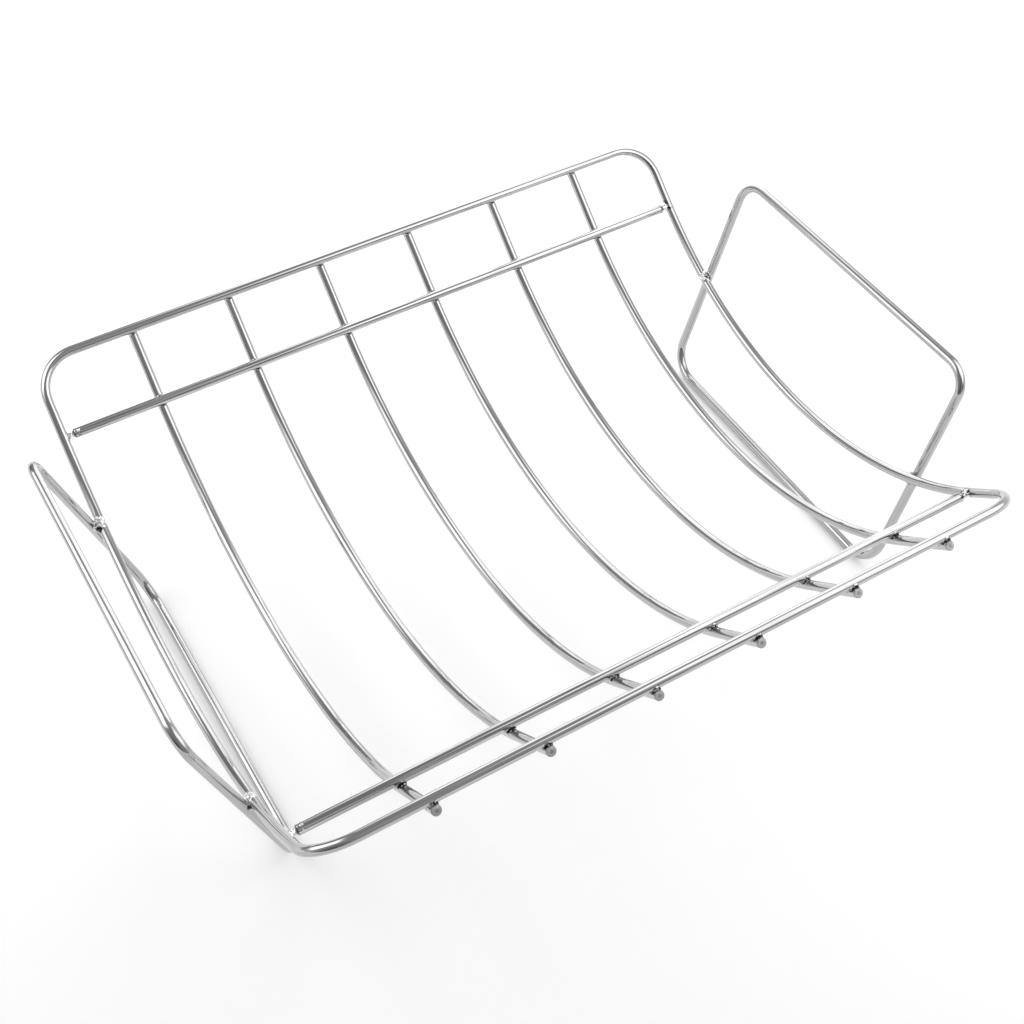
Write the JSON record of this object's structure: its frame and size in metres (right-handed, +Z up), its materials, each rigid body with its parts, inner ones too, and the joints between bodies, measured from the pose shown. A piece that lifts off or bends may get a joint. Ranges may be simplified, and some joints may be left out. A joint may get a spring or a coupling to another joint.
{
  "type": "roasting rack",
  "caption": "Welded wire roasting rack: a U-shaped cradle of curved ribs in a rounded frame, with a splayed wire loop at each end as foot and handle.",
  "frame": {"origin": "on the surface that the rack stands on, under the middle of its outline", "axes": "+X along the cradle from one end loop to the other, +Y across it towards the rear rail, +Z up"},
  "size_m": [0.402, 0.3186, 0.1226],
  "materials": {
    "wire": "bright polished steel wire with fine drawing lines along it"
  },
  "bodies": {
    "root": {"frame_loop": "wire", "front_cross_wire": "wire", "rear_cross_wire": "wire", "left_end_loop": "wire", "right_end_loop": "wire", "rib_1": "wire", "rib_2": "wire", "rib_3": "wire", "rib_4": "wire", "rib_5": "wire", "rib_6": "wire"}
  },
  "joints": []
}
